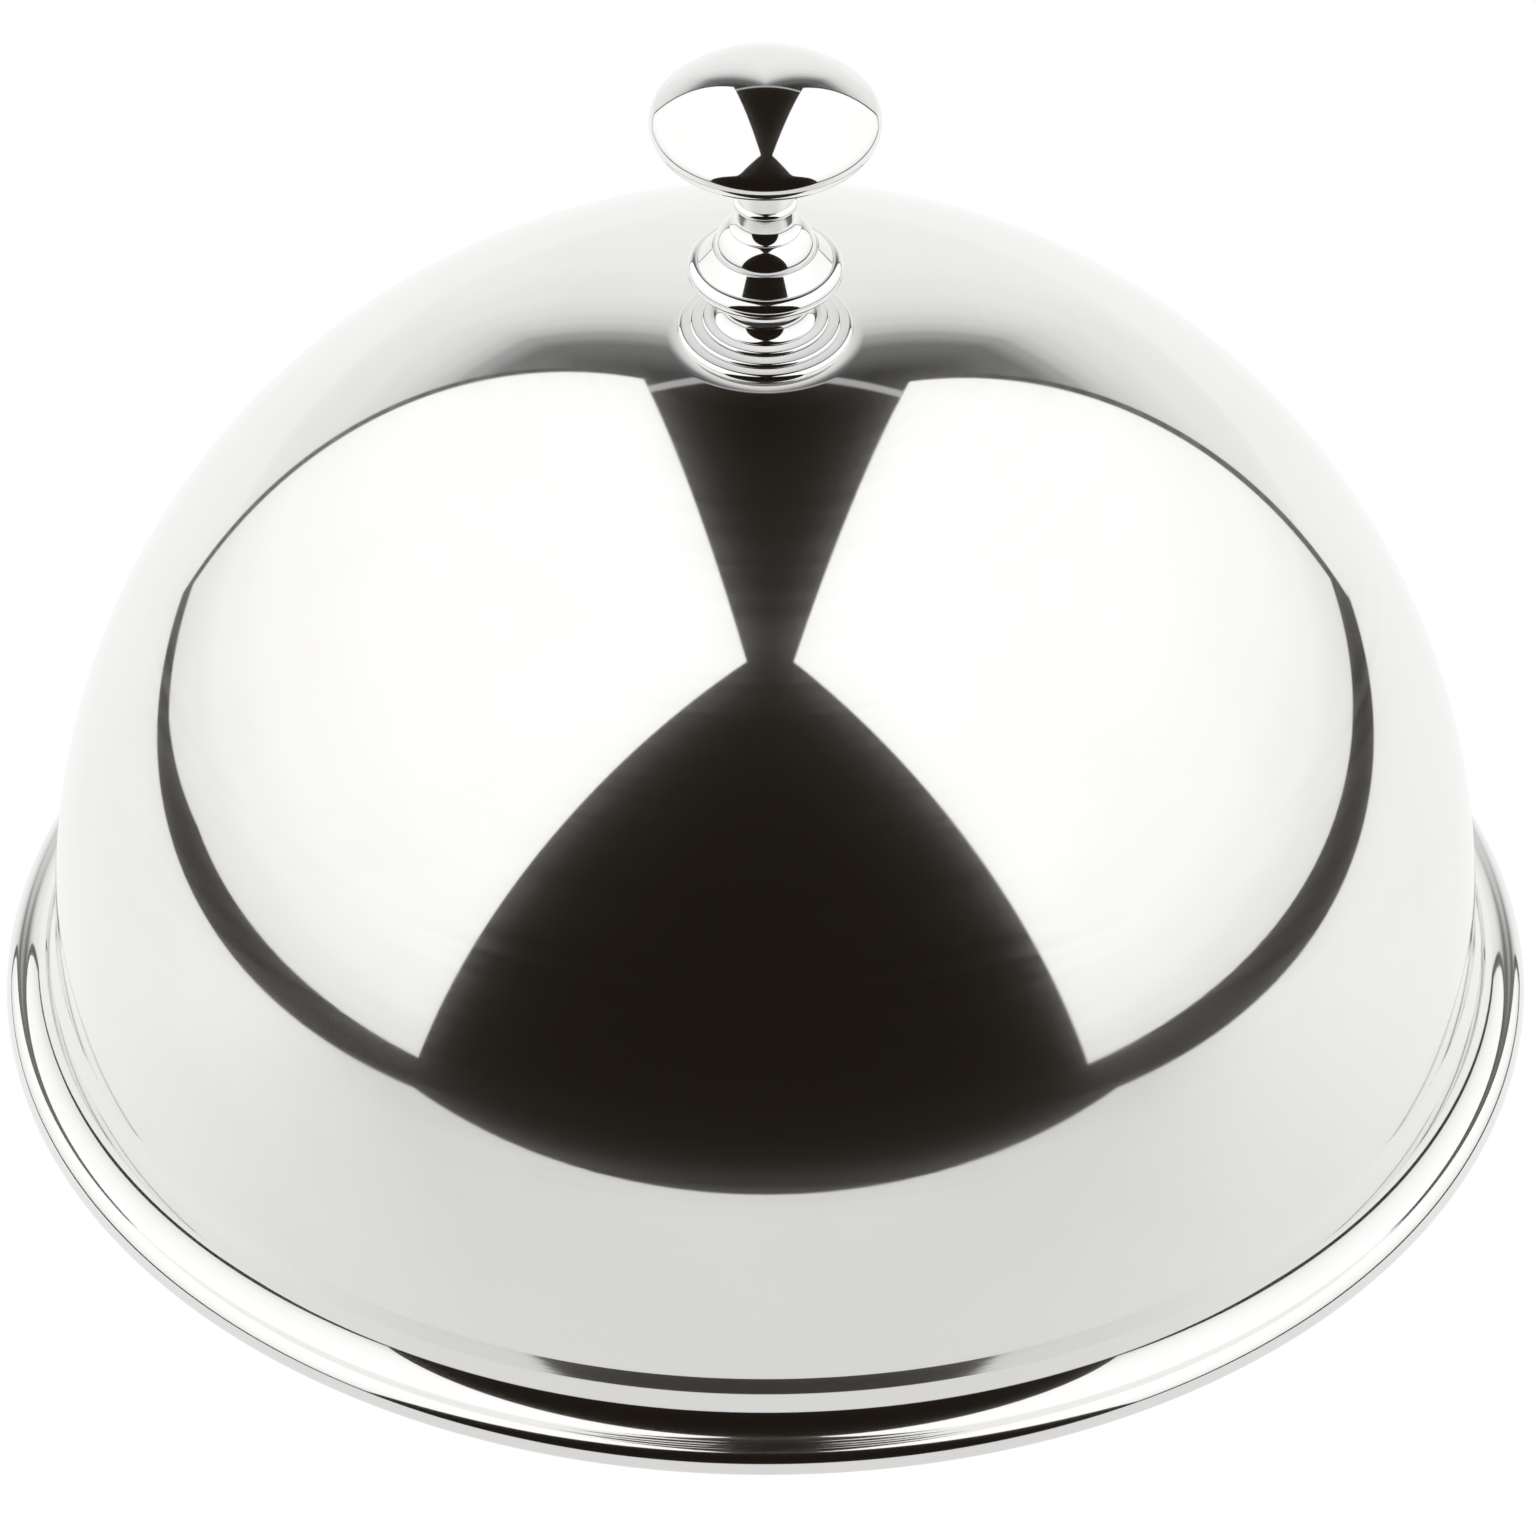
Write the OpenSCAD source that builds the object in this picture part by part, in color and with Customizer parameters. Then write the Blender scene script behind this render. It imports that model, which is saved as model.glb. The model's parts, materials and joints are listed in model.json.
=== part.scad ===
// Food cover dome: a spun sheet dome with a moulded rim, and a turned finial clamped to its crown.
// The origin is at the middle of the foot, +Z is up the finial, and all lengths are in millimetres.

/* [Dome] */
// Outer radius of the dome and of the straight wall under it
dome_r = 112; // [90:0.5:140]
// Height of the dome's centre above the foot
dome_centre_z = 20.8; // [17:0.1:40]
// Thickness of the spun sheet
sheet_t = 1; // [0.7:0.05:1.3]
// Radius of the flat seat pressed into the crown
seat_r = 14.2; // [13.8:0.1:18]

/* [Rim moulding] */
// Height of the ledge at the foot of the wall
ledge_z = 12.6; // [11:0.1:15]
// How far the ledge stands out from the wall
ledge_w = 1.9; // [1.2:0.1:3]
// How far the ledge falls over its width
ledge_fall = 0.3; // [0.1:0.05:0.6]
// How far the short wall under the ledge leans out
short_wall_lean = 0.1; // [0.05:0.05:0.4]
// Radius of the cove between the short wall and the rolled edge
cove_r = 6; // [5:0.1:7]
// Slope of the cove from upright where it leaves the short wall, in degrees
cove_top_slope = 20; // [16:1:26]
// Slope of the cove from upright where it meets the rolled edge, in degrees
cove_low_slope = 75; // [70:1:80]
// Radius of the rolled edge
roll_r = 2.52; // [2.2:0.02:2.8]
// Width of the flat land ground under the rolled edge
land_w = 1; // [0.4:0.1:1.4]
// Radius of the wire inside the rolled edge
wire_r = 1.45; // [1:0.05:1.6]

/* [Stud and clamp] */
// Radius of the threaded stud
stud_r = 2.5; // [2:0.1:3]
// Thickness of the soft washer under the rosette
seal_t = 0.6; // [0.4:0.1:1.2]
// Radius of the soft washer
seal_r = 12.6; // [9:0.1:13.5]
// Radius of the wide washer under the crown
inner_washer_r = 9.5; // [7:0.1:13]
// Thickness of the wide washer
inner_washer_t = 1.2; // [0.8:0.1:2]
// Radius of the spring washer
spring_washer_r = 4.6; // [4:0.1:6]
// Thickness of the spring washer
spring_washer_t = 1.2; // [0.8:0.1:2]
// Width of the split in the spring washer
spring_split = 0.7; // [0.4:0.1:1.2]
// Width of the cap nut across its flats
nut_flats = 8; // [7.6:0.1:11]
// Height of the cap nut's six-sided part
nut_hex_h = 4; // [3:0.1:6]
// Radius of the cap nut's domed end
nut_dome_r = 3.8; // [3.5:0.05:3.8]
// Length of the straight wall between the six sides and the domed end
nut_wall_h = 1.8; // [1:0.1:3]
// How far the stud reaches into the cap nut
stud_in_nut = 6.8; // [5.6:0.1:7]
// How far the stud reaches into the head above the equator of the head
stud_in_head = 1.5; // [0.5:0.1:2.5]

/* [Rosette] */
// Radius of the bottom ring
ring_one_r = 13.7; // [13:0.1:14]
// Height of the bottom ring
ring_one_h = 1.5; // [1.2:0.1:2.4]
// Radius of the second ring
ring_two_r = 11.8; // [11.2:0.1:12.4]
// Height of the second ring
ring_two_h = 0.9; // [0.7:0.1:1.6]
// Radius of the third ring
ring_three_r = 9.9; // [9.4:0.1:10.4]
// Height of the third ring
ring_three_h = 0.8; // [0.6:0.1:1.4]

/* [Spool] */
// Radius of the spool's foot and shoulder
spool_r = 8.1; // [7.6:0.1:9]
// Height of the spool
spool_h = 4.6; // [4.4:0.1:7]
// Radius of the spool's waist
spool_waist_r = 6.4; // [5.4:0.1:7]
// Radius of the hollow round the waist
spool_cove_r = 2.1; // [1.8:0.05:2.2]

/* [Knop] */
// Height of the knop's cone under its ring
knop_cone_h = 3.4; // [2:0.1:4]
// Radius of the foot of that cone
knop_foot_r = 7.4; // [6.6:0.1:8]
// Radius of the ring's round
knop_ring_tube_r = 1.55; // [1.2:0.05:1.8]
// Outer radius of the knop's ring
knop_ring_r = 12.2; // [11.6:0.1:13]
// Share of the ring's round between its centre and the top of the cone, and again below the flare
knop_ring_rise_share = 0.87; // [0.8:0.01:0.95]
// Height of the flare from the middle of the ring to the knop's cap
knop_flare_h = 4.3; // [3.6:0.1:5]
// Width of the ledge between the flare and the cap
knop_ledge_w = 0.35; // [0.2:0.05:0.6]
// Radius of the round of the knop's cap
knop_cap_r = 3.9; // [3.75:0.05:4.3]
// How far the centre of that round is from the axis
knop_cap_off = 4; // [3.8:0.1:4.2]
// Height of the knop's cap
knop_cap_h = 3.6; // [3:0.1:3.7]

/* [Neck] */
// Radius of the neck's foot
neck_foot_r = 5.6; // [5.2:0.1:6]
// Radius of the neck's waist
neck_waist_r = 4.5; // [4:0.1:4.8]
// Radius of the hollow between the foot and the small bead
neck_cove_r = 2.2; // [1.6:0.1:2.4]
// Height of the neck
neck_h = 10.8; // [10:0.1:14]
// Outer radius of the neck's small bead
neck_bead_r = 5.1; // [4.9:0.1:5.4]
// Radius of the round of that bead
neck_bead_tube_r = 0.7; // [0.5:0.05:0.9]

/* [Head] */
// Radius of the head at its equator
head_r = 18.1; // [15:0.1:20]
// Radius of the round at the head's edge
head_edge_r = 3; // [2.4:0.1:3.8]
// Height of the head above its equator
head_top_h = 8.9; // [7.6:0.1:10]
// Slope of the head's underside from level, in degrees
head_under_slope = 30; // [24:1:34]

/* [Fits] */
// Clearance round the stud in every bore
bore_clear = 0.08; // [0.04:0.01:0.1]
// Clearance round the wire in the rolled edge
wire_clear = 0.05; // [0.02:0.01:0.1]
// Clearance past the stud's end in a blind bore
end_clear = 0.8; // [0.4:0.1:1.2]

/* [Hidden] */
$fn = 180;
hex_sides = 6;
half_turn = 180;

// Overrun of every cut past the face that it leaves
overrun = 2;
// How far one round stands out of the next where two run into each other, so that they cross cleanly
seam_lap = 0.004;

// Crown of the dome and the bore through the whole stack
bore_r = stud_r + bore_clear;
seat_z = dome_centre_z + sqrt(dome_r * dome_r - seat_r * seat_r);
cavity_r = dome_r - sheet_t;
cavity_top_z = seat_z - sheet_t;

// Rim, from the wall outwards and down
ledge_r = dome_r + ledge_w;
ledge_edge_z = ledge_z - ledge_fall;
crease_r = ledge_r + short_wall_lean;
cove_centre_r = crease_r + cove_r * cos(cove_top_slope);
cove_to_roll = cove_r + roll_r - seam_lap;
roll_centre_r = cove_centre_r - cove_to_roll * cos(cove_low_slope);
roll_centre_z = sqrt(roll_r * roll_r - land_w * land_w / 4);
rim_r = roll_centre_r + roll_r;
cove_centre_z = roll_centre_z + cove_to_roll * sin(cove_low_slope);
crease_z = cove_centre_z - cove_r * sin(cove_top_slope);
// Where the short wall ends inside the moulding
short_wall_low_r = crease_r + short_wall_lean * (crease_z - roll_centre_z) / (ledge_edge_z - crease_z);

// Heights of the stack above the crown
rosette_z = seat_z + seal_t;
ring_two_z = rosette_z + ring_one_h;
ring_three_z = ring_two_z + ring_two_h;
spool_z = ring_three_z + ring_three_h;
knop_z = spool_z + spool_h;
knop_ring_z = knop_z + knop_cone_h + knop_ring_rise_share * knop_ring_tube_r;
knop_ring_centre_r = knop_ring_r - knop_ring_tube_r;
knop_cap_z = knop_ring_z + knop_flare_h;
neck_z = knop_cap_z + knop_cap_h;
head_z = neck_z + neck_h;

// Head: its edge, its top cap and its sloping underside run into each other
head_edge_centre_r = head_r - head_edge_r;
head_under_touch_r = head_edge_centre_r + head_edge_r * sin(head_under_slope);
head_under_rise = (head_under_touch_r - neck_waist_r) * tan(head_under_slope);
head_equator_z = head_z + head_under_rise + head_edge_r * cos(head_under_slope);
head_top_z = head_equator_z + head_top_h;
head_cap_r = (head_edge_centre_r * head_edge_centre_r + head_top_h * head_top_h - head_edge_r * head_edge_r)
    / (2 * (head_top_h - head_edge_r));
head_cap_centre_z = head_top_z - head_cap_r;
head_cap_touch_turn = acos(head_edge_centre_r / (head_cap_r - head_edge_r));
head_cap_touch_z = head_cap_centre_z + head_cap_r * sin(head_cap_touch_turn);

// Clamp under the crown, from the sheet downwards
inner_washer_z = cavity_top_z - inner_washer_t;
spring_washer_z = inner_washer_z - spring_washer_t;
nut_top_z = spring_washer_z;
nut_hex_z = nut_top_z - nut_hex_h;
nut_wall_z = nut_hex_z - nut_wall_h;
stud_low_z = nut_top_z - stud_in_nut;
stud_high_z = head_equator_z + stud_in_head;

// Rectangle in the half-section, from radius r0 to r1 and from height z0 to z1
module band(r0, r1, z0, z1) {
    translate([r0, z0])
        square([r1 - r0, z1 - z0]);
}

// Round in the half-section about a point
module round_at(r, z, round_r) {
    translate([r, z])
        circle(r = round_r);
}

// Disc with a half-round edge in the half-section, standing at height z
module round_edged_disc(r, z, h) {
    band(0, r - h / 2, z, z + h);
    round_at(r - h / 2, z + h / 2, h / 2);
}

// Turned piece: its half-section spun about the axis, with the stud's bore through it
module turned() {
    rotate_extrude()
        difference() {
            children();
            band(0, bore_r, -overrun, head_top_z + overrun);
        }
}

// Half-section of the dome and the moulding as if solid, without the rolled edge
module dome_outside() {
    intersection() {
        round_at(0, dome_centre_z, dome_r);
        band(0, dome_r, dome_centre_z, seat_z);
    }
    band(0, dome_r, ledge_z, dome_centre_z);
    polygon([
        [0, roll_centre_z], [short_wall_low_r, roll_centre_z], [ledge_r, ledge_edge_z],
        [dome_r, ledge_z], [0, ledge_z],
    ]);
    difference() {
        polygon([
            [0, 0], [roll_centre_r, 0], [roll_centre_r, roll_centre_z],
            [cove_centre_r, cove_centre_z], [0, cove_centre_z],
        ]);
        round_at(cove_centre_r, cove_centre_z, cove_r);
    }
}

// Half-section of the space under the sheet
module dome_inside() {
    intersection() {
        round_at(0, dome_centre_z, cavity_r);
        band(0, cavity_r, dome_centre_z, cavity_top_z);
    }
    band(0, cavity_r, -overrun, dome_centre_z);
    band(0, ledge_r - sheet_t, -overrun, ledge_edge_z - sheet_t);
    difference() {
        polygon([
            [0, -overrun], [roll_centre_r, -overrun], [roll_centre_r, roll_centre_z],
            [cove_centre_r, cove_centre_z], [0, cove_centre_z],
        ]);
        round_at(cove_centre_r, cove_centre_z, cove_r + sheet_t);
    }
}

module dome_shell() {
    color("gainsboro")
        rotate_extrude()
            difference() {
                union() {
                    difference() {
                        dome_outside();
                        dome_inside();
                    }
                    round_at(roll_centre_r, roll_centre_z, roll_r);
                }
                round_at(roll_centre_r, roll_centre_z, wire_r + wire_clear);
                band(0, rim_r + overrun, -roll_r - overrun, 0);
                band(0, bore_r, cavity_top_z - overrun, seat_z + overrun);
            }
}

module rim_wire() {
    color("dimgray")
        rotate_extrude()
            round_at(roll_centre_r, roll_centre_z, wire_r);
}

module seal_washer() {
    color("whitesmoke")
        turned()
            band(0, seal_r, seat_z, rosette_z);
}

module base_rosette() {
    color("gainsboro")
        turned() {
            round_edged_disc(ring_one_r, rosette_z, ring_one_h);
            round_edged_disc(ring_two_r, ring_two_z, ring_two_h);
            round_edged_disc(ring_three_r, ring_three_z, ring_three_h);
        }
}

module spool() {
    color("gainsboro")
        turned()
            difference() {
                band(0, spool_r, spool_z, knop_z);
                round_at(spool_waist_r + spool_cove_r, spool_z + spool_h / 2, spool_cove_r);
            }
}

module knop() {
    flare_top_r = knop_cap_off + knop_cap_r + knop_ledge_w;
    flare_low_z = knop_ring_z + knop_ring_rise_share * knop_ring_tube_r;
    color("gainsboro")
        turned() {
            polygon([
                [0, knop_z], [knop_foot_r, knop_z], [knop_ring_centre_r, knop_z + knop_cone_h],
                [knop_ring_centre_r, flare_low_z], [flare_top_r, knop_cap_z], [0, knop_cap_z],
            ]);
            round_at(knop_ring_centre_r, knop_ring_z, knop_ring_tube_r);
            band(0, knop_cap_off, knop_cap_z, neck_z);
            intersection() {
                round_at(knop_cap_off, knop_cap_z, knop_cap_r);
                band(knop_cap_off, knop_cap_off + knop_cap_r, knop_cap_z, neck_z);
            }
        }
}

module neck_collar() {
    neck_bead_z = neck_z + 2 * neck_cove_r + neck_bead_tube_r;
    color("gainsboro")
        turned() {
            difference() {
                band(0, neck_foot_r, neck_z, neck_z + neck_cove_r);
                round_at(neck_waist_r + neck_cove_r, neck_z + neck_cove_r, neck_cove_r);
            }
            band(0, neck_waist_r, neck_z, head_z);
            round_at(neck_bead_r - neck_bead_tube_r, neck_bead_z, neck_bead_tube_r);
        }
}

module knob_head() {
    color("gainsboro")
        rotate_extrude()
            difference() {
                union() {
                    polygon([
                        [0, head_z], [neck_waist_r, head_z],
                        [head_under_touch_r, head_z + head_under_rise],
                        [head_edge_centre_r, head_equator_z],
                        [head_edge_centre_r, head_cap_touch_z], [0, head_cap_touch_z],
                    ]);
                    round_at(head_edge_centre_r, head_equator_z, head_edge_r);
                    intersection() {
                        round_at(0, head_cap_centre_z, head_cap_r - seam_lap);
                        band(0, head_r, head_cap_touch_z, head_top_z + overrun);
                    }
                }
                band(0, bore_r, head_z - overrun, stud_high_z + end_clear);
            }
}

module tie_stud() {
    color("silver")
        translate([0, 0, stud_low_z])
            cylinder(r = stud_r, h = stud_high_z - stud_low_z);
}

module inner_washer() {
    color("silver")
        turned()
            band(0, inner_washer_r, inner_washer_z, cavity_top_z);
}

module spring_washer() {
    color("silver")
        difference() {
            turned()
                band(0, spring_washer_r, spring_washer_z, inner_washer_z);
            translate([0, -spring_split / 2, spring_washer_z - overrun])
                cube([spring_washer_r + overrun, spring_split, spring_washer_t + 2 * overrun]);
        }
}

module cap_nut() {
    color("silver")
        difference() {
            union() {
                translate([0, 0, nut_hex_z])
                    cylinder(d = nut_flats / cos(half_turn / hex_sides), h = nut_hex_h, $fn = hex_sides);
                translate([0, 0, nut_wall_z])
                    cylinder(r = nut_dome_r, h = nut_wall_h);
                translate([0, 0, nut_wall_z])
                    sphere(r = nut_dome_r);
            }
            translate([0, 0, stud_low_z - end_clear])
                cylinder(r = bore_r, h = stud_in_nut + end_clear + overrun);
        }
}

dome_shell();
rim_wire();
seal_washer();
base_rosette();
spool();
knop();
neck_collar();
knob_head();
tie_stud();
inner_washer();
spring_washer();
cap_nut();
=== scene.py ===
"""Food cover dome with a turned finial: the dressed model, its studio and the camera."""

from __future__ import annotations

import json
import logging
from cmath import phase, rect
from dataclasses import dataclass, field
from enum import Enum
from functools import partialmethod
from math import acos, asin, atan2, ceil, cos, degrees, dist, hypot, pi, radians, sin, sqrt, tan
from operator import mul
from typing import Mapping, Optional, Sequence, Tuple, Union

import bmesh
import bpy
import numpy as np
from bpy.types import Material, Mesh, Node, NodeSocket, NodeTree, Object
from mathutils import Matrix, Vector

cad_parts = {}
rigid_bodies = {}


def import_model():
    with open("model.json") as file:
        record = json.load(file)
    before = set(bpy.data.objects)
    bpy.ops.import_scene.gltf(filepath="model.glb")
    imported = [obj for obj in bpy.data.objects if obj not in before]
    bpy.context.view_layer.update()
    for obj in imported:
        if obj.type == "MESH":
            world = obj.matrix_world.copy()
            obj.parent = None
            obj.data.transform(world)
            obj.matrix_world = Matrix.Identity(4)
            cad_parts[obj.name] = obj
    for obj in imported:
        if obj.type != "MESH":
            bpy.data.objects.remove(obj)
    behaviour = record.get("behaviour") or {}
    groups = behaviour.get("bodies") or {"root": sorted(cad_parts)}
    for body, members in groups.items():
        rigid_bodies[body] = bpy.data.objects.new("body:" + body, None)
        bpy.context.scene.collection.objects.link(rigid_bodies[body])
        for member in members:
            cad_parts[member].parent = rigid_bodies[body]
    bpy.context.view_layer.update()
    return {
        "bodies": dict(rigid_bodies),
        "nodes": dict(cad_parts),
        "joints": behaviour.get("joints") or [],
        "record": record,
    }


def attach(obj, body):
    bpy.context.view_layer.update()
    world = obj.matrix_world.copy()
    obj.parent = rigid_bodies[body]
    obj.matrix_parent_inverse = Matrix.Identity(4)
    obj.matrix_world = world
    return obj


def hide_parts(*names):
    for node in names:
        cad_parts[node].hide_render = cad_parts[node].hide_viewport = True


LOG = logging.getLogger("food_cover")
MM = 0.001
SAME_POINT = 0.0005
BORE_R = 2.58
WHITE = (1.0, 1.0, 1.0)
FADE_IN = ((0.0, 0.0), (1.0, 1.0))
FADE_OUT = ((0.0, 1.0), (1.0, 0.0))
Point = Tuple[float, float]
Place = Tuple[float, float, float]
Colour = Tuple[float, float, float]
Points = Tuple[Point, ...]
Round = Tuple[Point, float]
Number = Union[float, "Value"]
Key = Union[str, int]
Inputs = Mapping[Key, object]


class Zone(Enum):
    """What a row of a turned section becomes when it is spun."""

    FACE = 0.0
    INNER = 1.0
    THREAD = 2.0
    HEXAGON = 3.0

    def holds(self, mark: Value) -> Value:
        """One where a mark stands for this zone, else zero."""
        return (mark > self.value - 0.5) * (1.0 - (mark > self.value + 0.5))


class Slot(Enum):
    """Material slots of the record that the dressed pieces take."""

    SHELL = "shell_steel"
    FINIAL = "finial_steel"
    SEAL = "seal_rubber"
    FASTENER = "fastener_steel"


class Body(Enum):
    """Bodies that move on their own."""

    DOME = "dome"
    FINIAL = "finial"
    WASHERS = "washers"
    NUT = "nut"


class Value:
    """A number on a socket of a node tree. Python's operators add the Math nodes."""

    def __init__(self, graph: Graph, socket: NodeSocket) -> None:
        """Wraps one output socket of a tree."""
        self.graph = graph
        self.socket = socket

    def _first(self, operation: str, other: Number) -> Value:
        """Adds a Math node with this number first."""
        return self.graph.math(operation, self, other)

    def _second(self, operation: str, other: Number) -> Value:
        """Adds a Math node with this number second."""
        return self.graph.math(operation, other, self)

    __add__ = partialmethod(_first, "ADD")
    __radd__ = partialmethod(_second, "ADD")
    __sub__ = partialmethod(_first, "SUBTRACT")
    __rsub__ = partialmethod(_second, "SUBTRACT")
    __mul__ = partialmethod(_first, "MULTIPLY")
    __truediv__ = partialmethod(_first, "DIVIDE")
    __mod__ = partialmethod(_first, "FLOORED_MODULO")
    __gt__ = partialmethod(_first, "GREATER_THAN")

    def __abs__(self) -> Value:
        """Size of the number without its sign."""
        return self.graph.math("ABSOLUTE", self)


class Graph:
    """A node tree under construction, for a finish or for a shape."""

    NOISE_ROUGH = 0.55
    # Colour sockets of the Mix node
    FIRST, SECOND, MIXED = 6, 7, 2

    def __init__(self, tree: NodeTree) -> None:
        """Starts with an empty tree."""
        self.tree = tree
        tree.nodes.clear()

    def feed(self, socket: NodeSocket, value: object) -> None:
        """Fills a socket.

        Args:
            socket: the socket.
            value: a value, a socket or a node to link to it, or a plain value to set on it.
        """
        if isinstance(value, Value):
            value = value.socket
        elif isinstance(value, Node):
            value = value.outputs[0]
        if isinstance(value, NodeSocket):
            self.tree.links.new(value, socket)
        else:
            socket.default_value = value

    def node(self, kind: str, inputs: Optional[Inputs] = None, **settings: object) -> Node:
        """Adds a node.

        Args:
            kind: Blender's type name of the node.
            inputs: values or links for sockets, by name or by place.
            settings: the node's own options, set before its sockets.

        Returns:
            The new node.
        """
        made = self.tree.nodes.new(kind)
        for name, value in settings.items():
            setattr(made, name, value)
        for key, value in (inputs or {}).items():
            self.feed(made.inputs[key], value)
        return made

    def value(
        self, kind: str, inputs: Optional[Inputs] = None, out: Key = 0, **settings: object
    ) -> Value:
        """Adds a node as node() does, and wraps the output of the given name or place."""
        return Value(self, self.node(kind, inputs, **settings).outputs[out])

    def chain(self, geometry: object, *steps: Tuple[str, Inputs]) -> Node:
        """Passes geometry through nodes in turn.

        Args:
            geometry: the node that it comes from.
            steps: type name and other inputs of each node.

        Returns:
            The last node.
        """
        for kind, inputs in steps:
            geometry = self.node(kind, {"Geometry": geometry, **inputs})
        return geometry

    def math(self, operation: str, *operands: Number) -> Value:
        """Adds one Math node with the given numbers, plain or wrapped."""
        return self.value("ShaderNodeMath", dict(enumerate(operands)), operation=operation)

    def place(self) -> NodeSocket:
        """Place on the object."""
        return self.node("ShaderNodeTexCoord").outputs["Object"]

    def split(self, vector: object) -> Tuple[Value, ...]:
        """The three numbers of a vector."""
        parts = self.node("ShaderNodeSeparateXYZ", {0: vector}).outputs
        return tuple(Value(self, part) for part in parts)

    def ramp(self, value: Number, stops: Points) -> Value:
        """Reads a number through a smooth ramp.

        Args:
            value: the number.
            stops: places and greys of the ramp.

        Returns:
            The grey at the number.
        """
        made = self.node("ShaderNodeValToRGB", {0: value})
        elements = made.color_ramp.elements
        while len(elements) < len(stops):
            elements.new(1.0)
        for element, (place, grey) in zip(elements, stops):
            element.position = place
            element.color = (grey, grey, grey, 1.0)
        made.color_ramp.interpolation = "EASE"
        return Value(self, made.outputs[0])

    def mix(self, share: Number, first: Colour, second: Colour) -> Value:
        """Mixes two colours, the second by the given share."""
        inputs = {0: share, self.FIRST: rgba(first), self.SECOND: rgba(second)}
        return self.value("ShaderNodeMix", inputs, self.MIXED, data_type="RGBA")

    def noise(self, vector: object, scale: float, detail: float) -> Value:
        """Soft noise between zero and one over a vector."""
        inputs = {"Vector": vector, "Scale": scale, "Detail": detail, "Roughness": self.NOISE_ROUGH}
        return self.value("ShaderNodeTexNoise", inputs, noise_dimensions="3D")

    def light(self, colour: Colour, strength: Number = 1.0) -> Node:
        """Plain light of one colour."""
        return self.node("ShaderNodeEmission", {0: rgba(colour), 1: strength})

    def blend(self, share: object, first: object, second: object) -> Node:
        """Mixes two shaders, the second by the given share."""
        return self.node("ShaderNodeMixShader", {0: share, 1: first, 2: second})

    def to_camera(self, others: object, camera: object) -> Node:
        """Shows one shader to the camera and another one to every other ray."""
        path = self.node("ShaderNodeLightPath").outputs["Is Camera Ray"]
        return self.blend(path, others, camera)

    def end(self, shader: object, kind: str = "ShaderNodeOutputMaterial") -> None:
        """Makes a shader the result of the tree."""
        self.node(kind, {"Surface": shader})


def rgba(colour: Colour) -> Tuple[float, float, float, float]:
    """Adds a full alpha to a colour."""
    return (*colour, 1.0)


def dimmed(level: float, colour: Colour) -> Colour:
    """Scales a colour by a brightness."""
    return tuple(level * channel for channel in colour)


def new_material(name: str) -> Tuple[Material, Graph]:
    """Makes an empty node material.

    Args:
        name: name of the material.

    Returns:
        The material, and the graph to build it with.
    """
    material = bpy.data.materials.new(name)
    material.use_nodes = True
    return material, Graph(material.node_tree)


@dataclass(frozen=True)
class SteelFinish:
    """Steel that was spun or turned, so that its fine lines run round the axis.

    The lines are rings in the noise of radius and height; soft clouds break them up, and haze lies
    in patches. A thin veil of polishing marks spreads a little light round bright reflections.
    Pitches are in millimetres.
    """

    name: str
    colour: Colour
    roughness: float
    line_rough: float
    haze_rough: float
    line_pitch: float
    broad_pitch: float
    bump: float
    cloud: float = 45.0
    lowlight: float = 0.96
    veil: float = 0.0

    WIPED = ((0.38, 0.0), (0.72, 1.0))
    HAZE = ((0.45, 0.0), (0.75, 1.0))
    HAZE_SCALE = 0.31
    FINE_SHARE = 0.6
    BUMP_DEPTH = 0.02
    VEIL_ROUGH = 0.19
    VEIL_TINT = (0.86, 0.83, 0.79)
    VEIL_LEAST = 0.4
    VEIL_LINES = 1.2

    def build(self) -> Material:
        """Makes the material.

        Returns:
            A metal whose colour, roughness and bump follow the turning lines.
        """
        material, g = new_material(self.name)
        place = g.place()
        x, y, z = g.split(place)
        radius = g.math("SQRT", x * x + y * y)
        rings = g.node("ShaderNodeCombineXYZ", {0: radius, 1: z})
        fine = g.noise(rings, 1.0 / (self.line_pitch * MM), detail=3.0)
        broad = g.noise(rings, 1.0 / (self.broad_pitch * MM), detail=2.0)
        wiped = g.ramp(g.noise(place, self.cloud, detail=3.0), self.WIPED)
        haze = g.ramp(g.noise(place, self.cloud * self.HAZE_SCALE, detail=4.0), self.HAZE)
        lines = fine * self.FINE_SHARE + broad * (1.0 - self.FINE_SHARE)
        worn = (lines - 0.5) * wiped * (2.0 * self.line_rough)
        height = fine * 0.5 + broad * wiped * 0.5
        relief = {"Strength": self.bump, "Distance": self.BUMP_DEPTH * MM, "Height": height}
        mirror = {
            "Base Color": g.mix(wiped * broad, self.colour, dimmed(self.lowlight, self.colour)),
            "Metallic": 1.0,
            "Roughness": self.roughness + worn + haze * self.haze_rough,
            "Normal": g.node("ShaderNodeBump", relief),
        }
        tint = rgba(self.VEIL_TINT)
        marks = {"Base Color": tint, "Metallic": 1.0, "Roughness": self.VEIL_ROUGH}
        share = (self.VEIL_LEAST + broad * self.VEIL_LINES) * self.veil
        shaders = (g.node("ShaderNodeBsdfPrincipled", inputs) for inputs in (mirror, marks))
        g.end(g.blend(share, *shaders))
        return material


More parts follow.
